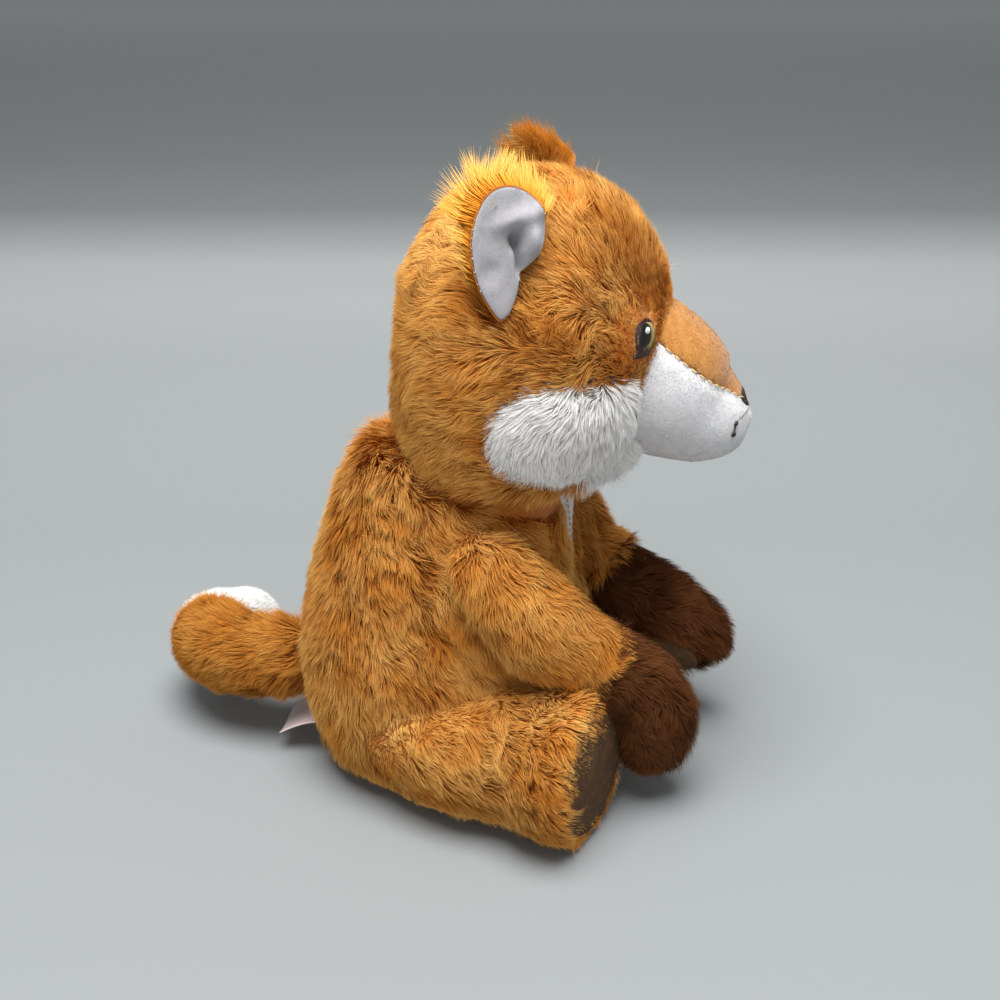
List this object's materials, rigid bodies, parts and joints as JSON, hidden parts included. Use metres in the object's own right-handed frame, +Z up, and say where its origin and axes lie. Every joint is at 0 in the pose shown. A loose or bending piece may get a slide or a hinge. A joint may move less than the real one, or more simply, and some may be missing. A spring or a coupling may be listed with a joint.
{
  "type": "plush fox",
  "caption": "Seated plush fox with long orange pile, white muzzle, cheeks and bib, brown paws and soles; head, ears, limbs and tail flex at their seams.",
  "frame": {"origin": "centre of the toy's box, on the surface it sits on", "axes": "+Z up, the fox faces -Y, its own left side is +X"},
  "size_m": [0.1586, 0.2248, 0.2301],
  "materials": {
    "long_orange_pile": "long matt orange pile on a knitted backing",
    "long_white_pile": "long matt white pile on a knitted backing",
    "long_brown_pile": "long dark brown pile with paler tips",
    "short_orange_velour": "short orange velour with a soft sheen",
    "short_white_velour": "short white velour with a soft sheen",
    "brown_suede": "smooth dark brown suede cloth",
    "polyester_fibre": "loose white polyester fibre",
    "pellet_bag_cloth": "plain woven polyester bag",
    "dark_thread": "glossy near-black embroidery thread",
    "satin_tape": "bare satin tape"
  },
  "bodies": {
    "torso": {"body_skin": "long_orange_pile", "chest_bib": "short_white_velour", "body_stuffing": "polyester_fibre", "pellet_bag": "pellet_bag_cloth", "sewn_label": "satin_tape"},
    "head": {"head_skin": "long_orange_pile", "head_stuffing": "polyester_fibre", "cheek_right": "long_white_pile", "cheek_left": "long_white_pile", "muzzle_top": "short_orange_velour", "muzzle_lower": "short_white_velour", "eye_right": "dark_thread", "eye_left": "dark_thread", "nose_embroidery": "dark_thread", "mouth_stitches": "dark_thread"},
    "ear_right": {"ear_back_right": "long_orange_pile", "ear_lining_right": "short_white_velour"},
    "arm_right": {"arm_skin_right": "long_orange_pile", "paw_skin_right": "long_brown_pile", "paw_pad_right": "brown_suede", "arm_stuffing_right": "polyester_fibre"},
    "leg_right": {"leg_skin_right": "long_orange_pile", "leg_stuffing_right": "polyester_fibre", "sole_right": "brown_suede"},
    "ear_left": {"ear_back_left": "long_orange_pile", "ear_lining_left": "short_white_velour"},
    "arm_left": {"arm_skin_left": "long_orange_pile", "paw_skin_left": "long_brown_pile", "paw_pad_left": "brown_suede", "arm_stuffing_left": "polyester_fibre"},
    "leg_left": {"leg_skin_left": "long_orange_pile", "leg_stuffing_left": "polyester_fibre", "sole_left": "brown_suede"},
    "tail": {"tail_skin": "long_orange_pile", "tail_tip": "long_white_pile", "tail_stuffing": "polyester_fibre"}
  },
  "joints": [
    {"name": "head_turn", "type": "hinge", "parent": "torso", "child": "head", "pos_m": [0, -0.02653, 0.126], "axis": [0, 0, 1], "range_deg": [-20, 20], "stiffness_Nm_per_rad": 0.15},
    {"name": "ear_right_fold", "type": "hinge", "parent": "head", "child": "ear_right", "pos_m": [-0.05, -0.03353, 0.188], "axis": [0, -1, 0], "range_deg": [-8, 25], "stiffness_Nm_per_rad": 0.01},
    {"name": "ear_left_fold", "type": "hinge", "parent": "head", "child": "ear_left", "pos_m": [0.05, -0.03353, 0.188], "axis": [0, 1, 0], "range_deg": [-8, 25], "stiffness_Nm_per_rad": 0.01},
    {"name": "arm_right_raise", "type": "hinge", "parent": "torso", "child": "arm_right", "pos_m": [-0.041, -0.02153, 0.1], "axis": [-1, 0, 0], "range_deg": [0, 35], "stiffness_Nm_per_rad": 0.08},
    {"name": "arm_left_raise", "type": "hinge", "parent": "torso", "child": "arm_left", "pos_m": [0.041, -0.02153, 0.1], "axis": [-1, 0, 0], "range_deg": [0, 35], "stiffness_Nm_per_rad": 0.08},
    {"name": "leg_right_splay", "type": "hinge", "parent": "torso", "child": "leg_right", "pos_m": [-0.035, -0.01053, 0.029], "axis": [0, 0, -1], "range_deg": [0, 20], "stiffness_Nm_per_rad": 0.15},
    {"name": "leg_left_splay", "type": "hinge", "parent": "torso", "child": "leg_left", "pos_m": [0.035, -0.01053, 0.029], "axis": [0, 0, 1], "range_deg": [0, 20], "stiffness_Nm_per_rad": 0.15},
    {"name": "tail_wag", "type": "hinge", "parent": "torso", "child": "tail", "pos_m": [0, 0.04447, 0.033], "axis": [0, 0, 1], "range_deg": [-20, 20], "stiffness_Nm_per_rad": 0.05}
  ]
}
